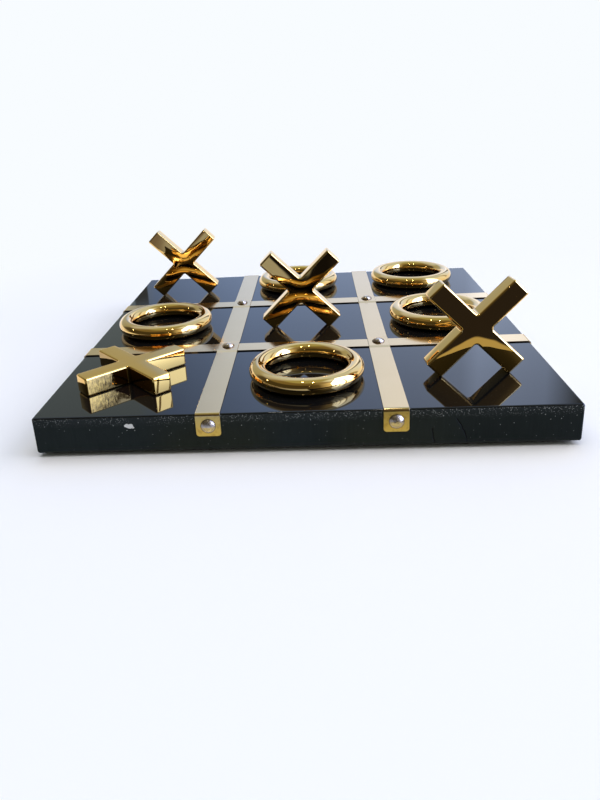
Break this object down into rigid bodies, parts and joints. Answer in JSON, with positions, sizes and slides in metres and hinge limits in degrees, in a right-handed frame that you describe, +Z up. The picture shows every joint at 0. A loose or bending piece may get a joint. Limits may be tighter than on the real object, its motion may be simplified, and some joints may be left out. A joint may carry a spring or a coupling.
{
  "type": "tic-tac-toe board",
  "caption": "Square gloss black tic-tac-toe board, its cells marked off by nailed metal straps, with loose gold crosses and rings that lift off.",
  "frame": {"origin": "on the table under the middle of the board", "axes": "+Z up from the table, +X to the right and -Y towards the player, as the picture shows the board"},
  "size_m": [0.311, 0.311, 0.0824],
  "materials": {
    "black_lacquer": "high-gloss black lacquer over a wood-fibre slab, matte at the edges",
    "satin_brass": "pale satin brass strip",
    "nickel": "bright nickel plate",
    "polished_gold": "mirror-polished gold-coloured metal",
    "soft_black": "matte black rubber"
  },
  "bodies": {
    "board": {"board": "black_lacquer", "strap_left": "satin_brass", "strap_right": "satin_brass", "cross_strap_front": "satin_brass", "cross_strap_back": "satin_brass", "strap_end_nails": "nickel", "crossing_nails": "nickel", "foot_front_left": "soft_black", "foot_front_right": "soft_black", "foot_back_left": "soft_black", "foot_back_right": "soft_black"},
    "cross_back_left": {"cross_back_left": "polished_gold"},
    "cross_centre": {"cross_centre": "polished_gold"},
    "cross_front_right": {"cross_front_right": "polished_gold"},
    "cross_front_left": {"cross_front_left": "polished_gold"},
    "ring_back_centre": {"ring_back_centre": "polished_gold"},
    "ring_back_right": {"ring_back_right": "polished_gold"},
    "ring_middle_left": {"ring_middle_left": "polished_gold"},
    "ring_middle_right": {"ring_middle_right": "polished_gold"},
    "ring_front_centre": {"ring_front_centre": "polished_gold"}
  },
  "joints": [
    {"name": "lift_cross_back_left", "type": "slide", "parent": "board", "child": "cross_back_left", "axis": [0, 0, 1], "range_m": [0, 0.12]},
    {"name": "lift_cross_centre", "type": "slide", "parent": "board", "child": "cross_centre", "axis": [0, 0, 1], "range_m": [0, 0.12]},
    {"name": "lift_cross_front_right", "type": "slide", "parent": "board", "child": "cross_front_right", "axis": [0, 0, 1], "range_m": [0, 0.12]},
    {"name": "lift_cross_front_left", "type": "slide", "parent": "board", "child": "cross_front_left", "axis": [0, 0, 1], "range_m": [0, 0.12]},
    {"name": "lift_ring_back_centre", "type": "slide", "parent": "board", "child": "ring_back_centre", "axis": [0, 0, 1], "range_m": [0, 0.12]},
    {"name": "lift_ring_back_right", "type": "slide", "parent": "board", "child": "ring_back_right", "axis": [0, 0, 1], "range_m": [0, 0.12]},
    {"name": "lift_ring_middle_left", "type": "slide", "parent": "board", "child": "ring_middle_left", "axis": [0, 0, 1], "range_m": [0, 0.12]},
    {"name": "lift_ring_middle_right", "type": "slide", "parent": "board", "child": "ring_middle_right", "axis": [0, 0, 1], "range_m": [0, 0.12]},
    {"name": "lift_ring_front_centre", "type": "slide", "parent": "board", "child": "ring_front_centre", "axis": [0, 0, 1], "range_m": [0, 0.12]}
  ]
}
